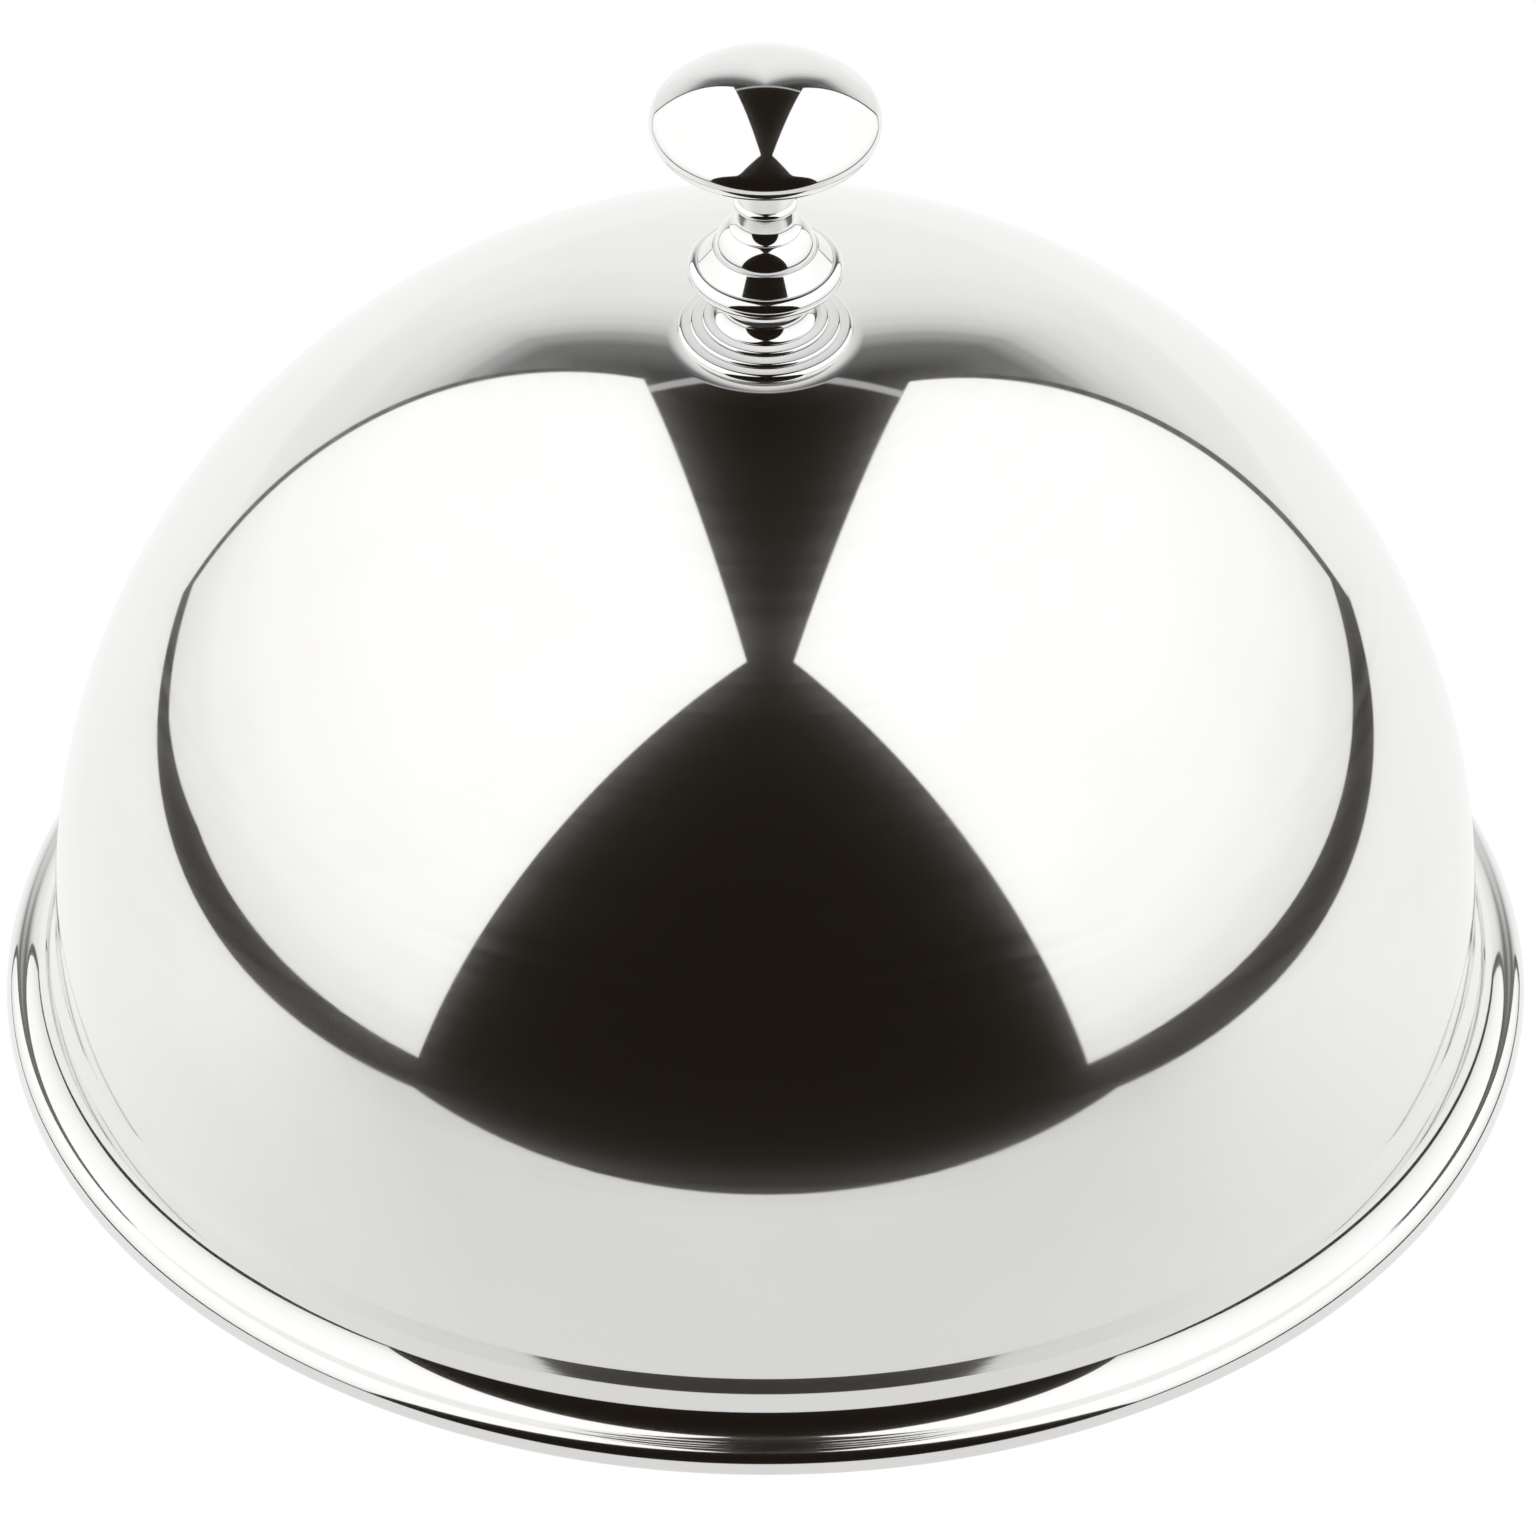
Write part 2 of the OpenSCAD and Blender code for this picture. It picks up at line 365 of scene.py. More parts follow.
@dataclass(frozen=True)
class RubberFinish:
    """Milky rubber with a fine bloom on its skin."""

    name: str
    colour: Colour
    bloom: Colour
    roughness: float

    GRAIN = 5200.0
    CLOUD = 210.0
    CLOUD_STOPS = ((0.4, 0.0), (0.75, 1.0))
    BLOOM_SHARE = 0.7
    BLOOM_ROUGH = 0.12
    BUMP = 0.25
    BUMP_DEPTH = 0.05

    def build(self) -> Material:
        """Makes the material.

        Returns:
            A dull material with a cloudy bloom and a fine grain.
        """
        material, g = new_material(self.name)
        place = g.place()
        grain = g.noise(place, self.GRAIN, detail=3.0)
        bloom = g.ramp(g.noise(place, self.CLOUD, detail=4.0), self.CLOUD_STOPS)
        relief = {"Strength": self.BUMP, "Distance": self.BUMP_DEPTH * MM, "Height": grain}
        skin = {
            "Base Color": g.mix(bloom * self.BLOOM_SHARE, self.colour, self.bloom),
            "Roughness": self.roughness + bloom * self.BLOOM_ROUGH,
            "Normal": g.node("ShaderNodeBump", relief),
        }
        g.end(g.node("ShaderNodeBsdfPrincipled", skin))
        return material


class Finishes:
    """Every finish of the object, each made once."""

    POLISHED = (0.865, 0.865, 0.86)

    def __init__(self) -> None:
        """Makes the materials."""
        self.shell = SteelFinish(
            "polished_shell", self.POLISHED, roughness=0.035, line_rough=0.012, haze_rough=0.02,
            line_pitch=0.22, broad_pitch=1.7, bump=0.035, veil=0.2
        ).build()
        self.shell_inside = SteelFinish(
            "satin_shell_inside", (0.72, 0.715, 0.70), roughness=0.27, line_rough=0.08,
            haze_rough=0.06, line_pitch=0.3, broad_pitch=2.2, bump=0.35, lowlight=0.9
        ).build()
        self.finial = SteelFinish(
            "polished_finial", self.POLISHED, roughness=0.03, line_rough=0.012, haze_rough=0.02,
            line_pitch=0.12, broad_pitch=0.8, bump=0.03, cloud=120.0, veil=0.1
        ).build()
        self.fastener = SteelFinish(
            "turned_fastener", (0.62, 0.615, 0.60), roughness=0.3, line_rough=0.08, haze_rough=0.08,
            line_pitch=0.1, broad_pitch=0.6, bump=0.4, cloud=260.0, lowlight=0.85
        ).build()
        self.wire = SteelFinish(
            "drawn_wire", (0.55, 0.545, 0.53), roughness=0.34, line_rough=0.08, haze_rough=0.08,
            line_pitch=0.08, broad_pitch=0.4, bump=0.4, cloud=200.0, lowlight=0.82
        ).build()
        self.seal = RubberFinish(
            "seal_rubber_skin", (0.80, 0.80, 0.78), bloom=(0.86, 0.86, 0.85), roughness=0.58
        ).build()


@dataclass
class Section:
    """Half-section of a turned piece, walked from the axis outwards and down.

    Its points are radius and height in millimetres.
    """

    points: list[Point] = field(default_factory=list)
    zones: list[Zone] = field(default_factory=list)

    SAME = 1e-6
    CORNER_TURN = radians(14.0)
    CORNER_STEPS = 6
    SIDE_SHARE = 0.4
    GUARD = 0.05
    GUARD_ROOM = 1.4 * GUARD

    def line(self, *points: Point, zone: Zone = Zone.FACE) -> Section:
        """Adds corners joined by straight lines.

        Args:
            points: the corners.
            zone: what their rows become.

        Returns:
            The section.
        """
        for point in points:
            if not self.points or dist(point, self.points[-1]) > self.SAME:
                self.points.append(point)
                self.zones.append(zone)
        return self

    def arc(
        self, centre: Point, radius: float, start: float, end: float, step: float,
        zone: Zone = Zone.FACE,
    ) -> Section:
        """Adds an arc.

        Args:
            centre: middle of the arc.
            radius: its radius.
            start: angle of its first point in degrees, from the outward direction upwards.
            end: angle of its last point.
            step: largest angle between two points.
            zone: what its rows become.

        Returns:
            The section.
        """
        count = max(2, ceil(abs(end - start) / step))
        for k in range(count + 1):
            turn = radians(start + (end - start) * k / count)
            point = (centre[0] + radius * cos(turn), centre[1] + radius * sin(turn))
            self.line(point, zone=zone)
        return self

    def softened(self, cut: float) -> Section:
        """Rounds every corner.

        Args:
            cut: how far along each side a corner's round begins.

        Returns:
            A new section with small rounds, and guard rows beside them that keep the faces true.
        """
        runs = [0.0]
        for first, second in zip(self.points, self.points[1:]):
            runs.append(runs[-1] + dist(first, second))
        inside = range(1, len(self.points) - 1)
        corners = [k for k in inside if self._turn(k) > self.CORNER_TURN]
        stops = [0.0] + [runs[k] for k in corners] + [runs[-1]]
        cuts = {}
        for i, k in enumerate(corners):
            sides = (runs[k] - stops[i], stops[i + 2] - runs[k])
            cuts[k] = min(cut, *(self.SIDE_SHARE * side for side in sides))
        made = Section()
        for k, point in enumerate(self.points):
            if k in cuts:
                self._round_corner(made, runs, k, cuts[k])
            elif all(abs(runs[k] - runs[c]) > cuts[c] + self.GUARD_ROOM for c in corners):
                made.line(point, zone=self.zones[k])
        return made

    def _turn(self, k: int) -> float:
        """Angle between the two sides that meet at a point."""
        before, here, after = (complex(*point) for point in self.points[k - 1 : k + 2])
        return abs(phase((after - here) / (here - before)))

    def _at(self, runs: Sequence[float], run: float) -> Point:
        """Point of the section at a length along it."""
        return tuple(float(np.interp(run, runs, axis)) for axis in zip(*self.points))

    def _round_corner(self, made: Section, runs: Sequence[float], k: int, cut: float) -> None:
        """Adds the round of one corner, with a guard row on each side of it.

        Args:
            made: the section that takes the round.
            runs: length along this section at each of its points.
            k: which point the corner is.
            cut: how far along each side the round begins.
        """
        guard = min(self.GUARD, 0.5 * cut)
        zone = self.zones[k]
        ends = (self._at(runs, runs[k] - cut), self.points[k], self._at(runs, runs[k] + cut))
        made.line(self._at(runs, runs[k] - cut - guard), zone=zone)
        for step in range(self.CORNER_STEPS + 1):
            t = step / self.CORNER_STEPS
            shares = ((1 - t) ** 2, 2 * t * (1 - t), t * t)
            point = tuple(sum(map(mul, shares, axis)) for axis in zip(*ends))
            made.line(point, zone=zone)
        made.line(self._at(runs, runs[k] + cut + guard), zone=zone)


def chord(radius: float, across: float) -> float:
    """Half the chord of a round at a distance from its centre."""
    return sqrt(radius * radius - across * across)


class ShapeTree:
    """A Geometry Nodes tree that makes pieces. Each kind names its inputs and adds its nodes."""

    NAME = ""
    INPUTS: Mapping[str, str] = {}

    def __init__(self) -> None:
        """Builds the tree."""
        self.tree = bpy.data.node_groups.new(self.NAME, "GeometryNodeTree")
        self.ids: dict[str, str] = {}
        sockets = self.tree.interface
        for name, kind in self.INPUTS.items():
            socket = sockets.new_socket(name, in_out="INPUT", socket_type="NodeSocket" + kind)
            self.ids[name] = socket.identifier
        sockets.new_socket("Geometry", in_out="OUTPUT", socket_type="NodeSocketGeometry")
        g = Graph(self.tree)
        given = g.node("NodeGroupInput").outputs
        last = self._wire(g, {name: Value(g, given[name]) for name in self.INPUTS})
        g.node("NodeGroupOutput", {0: last})

    def _wire(self, g: Graph, given: Mapping[str, Value]) -> Node:
        """Adds the nodes of one kind of tree."""
        raise NotImplementedError

    def run(self, name: str, start: Mesh, **settings: object) -> Object:
        """Makes one piece, and takes the tree off it again.

        Args:
            name: name of the piece.
            start: mesh that the tree begins with, removed afterwards.
            settings: the tree's other inputs; each float is a length in millimetres.

        Returns:
            The piece, a plain mesh at the origin.
        """
        blank = bpy.data.objects.new(name + "_blank", start)
        bpy.context.scene.collection.objects.link(blank)
        modifier = blank.modifiers.new(self.NAME, "NODES")
        modifier.node_group = self.tree
        for label, value in settings.items():
            modifier[self.ids[label]] = value * MM if isinstance(value, float) else value
        graph = bpy.context.evaluated_depsgraph_get()
        mesh = bpy.data.meshes.new_from_object(
            blank.evaluated_get(graph), preserve_all_data_layers=True, depsgraph=graph
        )
        blank.modifiers.remove(modifier)
        bpy.data.objects.remove(blank)
        bpy.data.meshes.remove(start)
        return finished_piece(name, mesh)


class Lathe(ShapeTree):
    """Spins sections into meshes."""

    NAME = "turned_piece"
    PLAIN = {"thread_pitch": 1.0, "thread_depth": 0.0, "across_flats": 0.0}
    INPUTS = {
        "section": "Geometry",
        "segments": "Int",
        **dict.fromkeys(PLAIN, "Float"),
        **dict.fromkeys(("face", "inner"), "Material"),
    }
    HEX_SIDES = 6
    WELD = 0.002

    def _wire(self, g: Graph, given: Mapping[str, Value]) -> Node:
        """Adds a grid whose columns go round the axis and whose rows follow the section.

        Args:
            g: the tree's graph.
            given: the tree's inputs by name.

        Returns:
            The last node.
        """
        segments, pitch, depth, flats = (given[name] for name in ("segments", *self.PLAIN))
        section = given["section"]
        rows = g.value("GeometryNodeAttributeDomainSize", {0: section}, out="Point Count")
        grid = g.node("GeometryNodeMeshGrid", {"Vertices X": segments + 1.0, "Vertices Y": rows})
        index = g.value("GeometryNodeInputIndex")
        column = g.math("FLOOR", (index + 0.5) / rows)
        row = {
            "Geometry": section,
            "Value": g.node("GeometryNodeInputPosition"),
            "Index": g.math("ROUND", index - column * rows),
        }
        radius, zone, height = g.split(
            g.node("GeometryNodeSampleIndex", row, data_type="FLOAT_VECTOR", domain="POINT")
        )
        share = (column % segments) / segments
        angle = share * (2.0 * pi)
        # Thread: a ridge that climbs one pitch in one turn
        ridge = abs(((height / pitch - share) % 1.0) * 2.0 - 1.0)
        radius = radius - Zone.THREAD.holds(zone) * ridge * depth
        # Six sides: the radius stops at the flats
        sector = ((share * float(self.HEX_SIDES)) % 1.0 - 0.5) * (2.0 * pi / self.HEX_SIDES)
        flat = flats * 0.5 / g.math("COSINE", sector)
        hexed = Zone.HEXAGON.holds(zone)
        radius = hexed * g.math("MINIMUM", radius, flat) + (1.0 - hexed) * radius
        across, along = (radius * g.math(wave, angle) for wave in ("COSINE", "SINE"))
        place = g.node("ShaderNodeCombineXYZ", {0: across, 1: along, 2: height})
        name = {"Name": "zone"}
        marks = {"Geometry": grid, **name, "Value": zone}
        marked = g.node(
            "GeometryNodeStoreNamedAttribute", marks, data_type="FLOAT", domain="POINT"
        )
        mark = g.value("GeometryNodeInputNamedAttribute", name, "Attribute", data_type="FLOAT")
        lining = {"Selection": Zone.INNER.holds(mark), "Material": given["inner"]}
        return g.chain(
            marked,
            ("GeometryNodeSetPosition", {"Position": place}),
            ("GeometryNodeMergeByDistance", {"Distance": self.WELD * MM}),
            ("GeometryNodeSetShadeSmooth", {}),
            ("GeometryNodeRealizeInstances", {}),
            ("GeometryNodeSetMaterial", {"Material": given["face"]}),
            ("GeometryNodeSetMaterial", lining),
            ("GeometryNodeRemoveAttribute", name),
        )

    def spin(
        self, name: str, section: Section, segments: int, face: Material,
        inner: Optional[Material] = None, **lengths: float,
    ) -> Object:
        """Spins a section into a closed mesh.

        Args:
            name: name of the piece.
            section: its half-section.
            segments: number of columns round the axis.
            face: finish of its faces.
            inner: finish of the rows of the inner zone; the face's finish where it is left out.
            lengths: pitch and depth of a thread, or width across six sides, in millimetres.

        Returns:
            The piece, a plain mesh at the origin.
        """
        rows = [(r * MM, zone.value, z * MM) for (r, z), zone in zip(section.points, section.zones)]
        wire = bpy.data.meshes.new(name + "_section")
        wire.from_pydata(rows, [(k, k + 1) for k in range(len(rows) - 1)], [])
        lengths = {**self.PLAIN, **lengths}
        return self.run(name, wire, segments=segments, face=face, inner=inner or face, **lengths)


class BarBender(ShapeTree):
    """Bends a bar with a rounded section into an open ring."""

    NAME = "bent_bar"
    SIZES = ("radius", "gap", "height", "bar_width", "bar_height", "edge_round")
    INPUTS = {"start": "Geometry", **dict.fromkeys(SIZES, "Float"), "material": "Material"}
    STEPS = 97
    EDGE_STEPS = 4

    def _wire(self, g: Graph, given: Mapping[str, Value]) -> Node:
        """Adds an arc of wire, a rounded bar section along it, and closed ends.

        Args:
            g: the tree's graph.
            given: the tree's inputs by name.

        Returns:
            The last node.
        """
        gap = given["gap"] / given["radius"]
        turn = {"Start Angle": gap * 0.5, "Sweep Angle": 2.0 * pi - gap}
        arc = {"Resolution": self.STEPS, "Radius": given["radius"], **turn}
        path = g.node("GeometryNodeCurveArc", arc, mode="RADIUS")
        upright = g.node("GeometryNodeSetCurveNormal", {0: path}, mode="Z_UP")
        size = {"Width": given["bar_width"], "Height": given["bar_height"]}
        bar = g.node("GeometryNodeCurvePrimitiveQuadrilateral", size, mode="RECTANGLE")
        edge = {"Count": self.EDGE_STEPS, "Radius": given["edge_round"], "Limit Radius": True}
        eased = g.node("GeometryNodeFilletCurve", {"Curve": bar, **edge}, mode="POLY")
        sweep = {"Curve": upright, "Profile Curve": eased, "Fill Caps": True}
        lift = g.node("ShaderNodeCombineXYZ", {2: given["height"]})
        return g.chain(
            g.node("GeometryNodeCurveToMesh", sweep),
            ("GeometryNodeSetPosition", {"Offset": lift}),
            ("GeometryNodeSetShadeSmooth", {}),
            ("GeometryNodeRealizeInstances", {}),
            ("GeometryNodeSetMaterial", {"Material": given["material"]}),
        )


def finished_piece(name: str, mesh: Mesh) -> Object:
    """Faces a closed mesh outwards and puts it in the scene.

    Args:
        name: name of the piece.
        mesh: its closed mesh.

    Returns:
        The object, at the origin.
    """
    work = bmesh.new()
    work.from_mesh(mesh)
    bmesh.ops.remove_doubles(work, verts=work.verts, dist=SAME_POINT * MM)
    if work.calc_volume(signed=True) < 0.0:
        bmesh.ops.reverse_faces(work, faces=work.faces)
    open_edges = sum(1 for edge in work.edges if not edge.is_manifold)
    if open_edges:
        raise ValueError(f"{name} has {open_edges} open edges")
    work.to_mesh(mesh)
    work.free()
    mesh.name = name
    piece = bpy.data.objects.new(name, mesh)
    bpy.context.scene.collection.objects.link(piece)
    return piece


def install(
    piece: Object, node: str, body: Body, sharp: Optional[float] = None
) -> None:
    """Puts a dressed piece in the place of a node.

    Args:
        piece: the dressed piece.
        node: the node that it stands for.
        body: the body that it moves with.
        sharp: angle in degrees above which an edge stays sharp; none where it is left out.
    """
    if sharp is not None:
        piece.data.set_sharp_from_angle(angle=radians(sharp))
    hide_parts(node)
    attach(piece, body.value)
    # The photographed crown shows no image of the finial
    piece.visible_glossy = body is not Body.FINIAL
    faces = len(piece.data.polygons)
    LOG.info("%s stands for %s on %s, %d faces", piece.name, node, body.value, faces)


@dataclass
class DomeShell:
    """The spun dome with its moulded rim and the rolled edge."""

    lathe: Lathe
    finishes: Finishes
    radius: float = 112.0
    centre_z: float = 20.8
    sheet: float = 1.0
    seat_r: float = 14.2
    ledge_z: float = 12.6
    ledge_w: float = 1.9
    ledge_fall: float = 0.3
    wall_lean: float = 0.1
    cove_r: float = 6.0
    cove_slopes: Point = (20.0, 75.0)
    bend_turn: float = 60.0
    meet_turn: float = 86.0
    chamfer_z: Point = (14.9, 11.77)
    chamfer_round_r: float = 2.5
    chamfer_slopes: Point = (20.0, 6.5)
    roll_r: float = 2.52
    land_w: float = 1.0
    wire_hole_r: float = 1.5
    curl_end: float = -196.0
    corner: float = 0.3
    segments: int = 288

    def __post_init__(self) -> None:
        """Works out the sizes that follow from the named ones."""
        self.seat_z = self.centre_z + chord(self.radius, self.seat_r)
        self.shelf_z = self.ledge_z - self.ledge_fall - self.sheet
        self.roll_centre_z = chord(self.roll_r, self.land_w / 2.0)
        top, low = (radians(turn) for turn in self.cove_slopes)
        step = self.cove_r + self.roll_r
        crease_r = self.radius + self.ledge_w + self.wall_lean
        self.roll_centre_r = crease_r + self.cove_r * cos(top) - step * cos(low)
        self.crease_z = self.roll_centre_z + step * sin(low) - self.cove_r * sin(top)

    def _ledge(self, s: Section) -> Point:
        """Adds the ledge as a low chamfer, hollow above and round below.

        Args:
            s: the section, walked as far as the dome's wall.

        Returns:
            The crease under the ledge.
        """
        steep, low = (radians(turn) for turn in self.chamfer_slopes)
        high_z, low_z = self.chamfer_z
        bend = self.chamfer_round_r
        hollow = (self.radius + bend, high_z)
        s.arc(hollow, bend, 180.0, 180.0 + self.chamfer_slopes[0], step=3.0)
        r, z = s.points[-1]
        r += (z - low_z) * tan(steep)
        nose = (r - bend * cos(steep), low_z - bend * sin(steep))
        s.arc(nose, bend, *self.chamfer_slopes, step=3.0)
        r, z = s.points[-1]
        return (r + (z - self.crease_z) * tan(low), self.crease_z)

    def _cove(self, crease: Point) -> Tuple[Round, Round]:
        """Solves the cove as two rounds, wide under the crease and tighter beside the rolled edge.

        Args:
            crease: where it begins.

        Returns:
            The centre and radius of each round.
        """
        turns = (self.cove_slopes[0], self.bend_turn, self.meet_turn)
        top, bend, meet = (rect(1.0, radians(turn)) for turn in turns)
        start, roll = complex(*crease), complex(self.roll_centre_r, self.roll_centre_z)
        # The walk from the crease to the roll is a share of each of two ways
        walk = roll + self.roll_r * meet - start
        first, second = top - bend, bend - meet
        span = (first.conjugate() * second).imag
        wide_r = (walk.conjugate() * second).imag / span
        tight_r = (first.conjugate() * walk).imag / span
        wide = start + wide_r * top
        tight = wide - (wide_r - tight_r) * bend
        return ((wide.real, wide.imag), wide_r), ((tight.real, tight.imag), tight_r)

    def section(self) -> Section:
        """Walks the sheet: crown, outside, rolled edge round its wire, and back up inside.

        Returns:
            The closed half-section.
        """
        s = Section()
        inner_r = self.radius - self.sheet
        crown_z = self.seat_z - self.sheet
        centre = (0.0, self.centre_z)
        roll = (self.roll_centre_r, self.roll_centre_z)
        seat_turn = degrees(acos(self.seat_r / self.radius))
        s.line((BORE_R, self.seat_z))
        s.arc(centre, self.radius, seat_turn, 0.0, step=0.6)
        crease = self._ledge(s)
        (wide, wide_r), (tight, tight_r) = self._cove(crease)
        bend, meet = self.bend_turn + 180.0, self.meet_turn + 180.0
        s.arc(wide, wide_r, self.cove_slopes[0] + 180.0, bend, step=3.0)
        s.arc(tight, tight_r, bend, meet, step=4.0)
        land_turn = degrees(asin(self.roll_centre_z / self.roll_r))
        s.arc(roll, self.roll_r, self.meet_turn, -land_turn, step=6.0)
        inner = Zone.INNER
        s.arc(roll, self.roll_r, land_turn - 180.0, self.curl_end, step=8.0, zone=inner)
        # Back round the wire and up the inside of the cove
        s.arc(roll, self.wire_hole_r, self.curl_end, self.meet_turn, step=15.0, zone=inner)
        s.arc(tight, tight_r + self.sheet, meet, bend, step=6.0, zone=inner)
        wall_r = crease[0] - self.sheet
        wide_r += self.sheet
        high = degrees(acos((wide[0] - wall_r) / wide_r))
        s.arc(wide, wide_r, bend, high + 180.0, step=4.0, zone=inner)
        s.line((wall_r, self.shelf_z), (inner_r, self.shelf_z), zone=inner)
        crown_turn = degrees(asin((crown_z - self.centre_z) / inner_r))
        s.arc(centre, inner_r, 0.0, crown_turn, step=1.2, zone=inner)
        s.line((BORE_R, crown_z), (BORE_R, self.seat_z), zone=inner)
        return s.softened(self.corner)

    def build(self) -> None:
        """Spins the shell, polished outside and satin inside."""
        polished, satin = self.finishes.shell, self.finishes.shell_inside
        shell = self.lathe.spin("dome_spun_shell", self.section(), self.segments, polished, satin)
        install(shell, "dome_shell", Body.DOME)


@dataclass
class Finial:
    """The turnings that stand on the crown, from the stepped rosette up to the head."""

    lathe: Lathe
    finishes: Finishes
    foot_z: float
    rings: Points = ((13.7, 1.5), (11.8, 0.9), (9.9, 0.8))
    ring_under: float = -52.0
    spool_r: float = 8.1
    spool_h: float = 4.6
    spool_waist_r: float = 6.4
    spool_cove_r: float = 2.1
    cone_h: float = 3.4
    cone_foot_r: float = 7.4
    knop_tube_r: float = 1.55
    knop_ring_r: float = 12.2
    knop_rise_share: float = 0.87
    knop_flare_h: float = 4.3
    knop_ledge_w: float = 0.35
    knop_cap_r: float = 3.9
    knop_cap_off: float = 4.0
    knop_cap_h: float = 3.6
    neck_foot_r: float = 5.6
    neck_waist_r: float = 4.5
    neck_cove_r: float = 2.2
    neck_h: float = 10.8
    neck_bead_r: float = 5.1
    neck_bead_tube_r: float = 0.7
    head_r: float = 18.1
    head_edge_r: float = 3.0
    head_top_h: float = 8.9
    head_slope: float = 30.0
    head_bore_z: float = 2.3
    stud_top_z: float = 1.5
    corner: float = 0.12
    segments: int = 192

    def __post_init__(self) -> None:
        """Works out the heights of the stack and the middle of the knop's ring."""
        self.spool_z = self.foot_z + sum(height for _, height in self.rings)
        self.knop_z = self.spool_z + self.spool_h
        self.knop_rise = self.knop_rise_share * self.knop_tube_r
        self.ring_centre_r = self.knop_ring_r - self.knop_tube_r
        self.ring_z = self.knop_z + self.cone_h + self.knop_rise
        self.cap_z = self.ring_z + self.knop_flare_h
        self.neck_z = self.cap_z + self.knop_cap_h
        self.head_z = self.neck_z + self.neck_h
        slope = radians(self.head_slope)
        touch_r = self.head_r - self.head_edge_r + self.head_edge_r * sin(slope)
        rise = (touch_r - self.neck_waist_r) * tan(slope)
        self.equator_z = self.head_z + rise + self.head_edge_r * cos(slope)

    def _close(self, s: Section, low_r: float, low: float, high: float) -> Section:
        """Ends a section along its foot and up its bore, and rounds its corners."""
        return s.line((low_r, low), (BORE_R, low), (BORE_R, high)).softened(self.corner)

    def rosette(self) -> Section:
        """Three rings with half-round edges, the widest at the bottom.

        Returns:
            The half-section.
        """
        s = Section().line((BORE_R, self.spool_z))
        top = self.spool_z
        for radius, height in reversed(self.rings):
            round_r = height / 2.0
            s.arc((radius - round_r, top - round_r), round_r, 90.0, self.ring_under, step=11.0)
            top -= height
            s.line((s.points[-1][0], top))
        return self._close(s, s.points[-1][0], self.foot_z, self.spool_z)

    def spool(self) -> Section:
        """A short drum with a hollow round its waist.

        Returns:
            The half-section.
        """
        s = Section().line((BORE_R, self.knop_z), (self.spool_r, self.knop_z))
        centre = (self.spool_waist_r + self.spool_cove_r, self.spool_z + self.spool_h / 2.0)
        turn = degrees(acos((self.spool_r - centre[0]) / self.spool_cove_r))
        s.arc(centre, self.spool_cove_r, turn, 360.0 - turn, step=6.0)
        return self._close(s, self.spool_r, self.spool_z, self.knop_z)

    def _ring_turn(self, far: Point, rise: float) -> float:
        """Angle on the knop's ring at which a straight side leaves it.

        Args:
            far: end of the side that is away from the ring.
            rise: height of the side's other end, inside the ring, above the ring's middle.

        Returns:
            The angle in degrees, from the outward direction upwards.
        """
        run, climb = far[0] - self.ring_centre_r, far[1] - self.ring_z - rise
        length = hypot(run, climb)
        along = rise * climb / length
        out = chord(self.knop_tube_r, rise * run / length) - along
        return degrees(atan2(rise + climb / length * out, run / length * out))

    def knop(self) -> Section:
        """A low cap on a flare, over a round ring on a cone.

        Returns:
            The half-section.
        """
        flare_top = (self.knop_cap_off + self.knop_cap_r + self.knop_ledge_w, self.cap_z)
        first = self._ring_turn(flare_top, self.knop_rise)
        last = self._ring_turn((self.cone_foot_r, self.knop_z), -self.knop_rise)
        s = Section().line((BORE_R, self.neck_z))
        cap_top = degrees(asin(self.knop_cap_h / self.knop_cap_r))
        s.arc((self.knop_cap_off, self.cap_z), self.knop_cap_r, cap_top, 0.0, step=3.0)
        s.line(flare_top)
        s.arc((self.ring_centre_r, self.ring_z), self.knop_tube_r, first, last, step=7.0)
        return self._close(s, self.cone_foot_r, self.knop_z, self.neck_z)

    def neck(self) -> Section:
        """A slim stem with a small bead over a hollow foot.

        Returns:
            The half-section.
        """
        s = Section().line((BORE_R, self.head_z), (self.neck_waist_r, self.head_z))
        tube, hollow = self.neck_bead_tube_r, self.neck_cove_r
        bead = (self.neck_bead_r - tube, self.neck_z + 2 * hollow + tube)
        turn = degrees(acos((self.neck_waist_r - bead[0]) / tube))
        s.arc(bead, tube, turn, -turn, step=9.0)
        cove = (self.neck_waist_r + hollow, self.neck_z + hollow)
        end = degrees(acos((self.neck_foot_r - cove[0]) / hollow))
        s.arc(cove, hollow, 180.0, 360.0 - end, step=5.0)
        return self._close(s, self.neck_foot_r, self.neck_z, self.head_z)

    def head(self) -> Section:
        """A lens-shaped button with a round edge and a sloping underside.

        Returns:
            The half-section.
        """
        edge_r = self.head_r - self.head_edge_r
        top_h, tube = self.head_top_h, self.head_edge_r
        cap_r = (edge_r**2 + top_h**2 - tube**2) / (2.0 * (top_h - tube))
        cap_turn = degrees(acos(edge_r / (cap_r - tube)))
        top_z = self.equator_z + top_h
        s = Section().arc((0.0, top_z - cap_r), cap_r, 90.0, cap_turn, step=1.0)
        s.arc((edge_r, self.equator_z), tube, cap_turn, self.head_slope - 90.0, step=4.0)
        s.line((self.neck_waist_r, self.head_z), (BORE_R, self.head_z))
        bore_top = self.equator_z + self.head_bore_z
        return s.line((BORE_R, bore_top), (0.0, bore_top)).softened(self.corner)

    def build(self) -> None:
        """Spins the five turnings and puts them on the finial's body."""
        turnings = {
            "base_rosette": self.rosette(),
            "spool": self.spool(),
            "knop": self.knop(),
            "neck_collar": self.neck(),
            "knob_head": self.head(),
        }
        for node, section in turnings.items():
            piece = self.lathe.spin(node + "_turned", section, self.segments, self.finishes.finial)
            install(piece, node, Body.FINIAL)


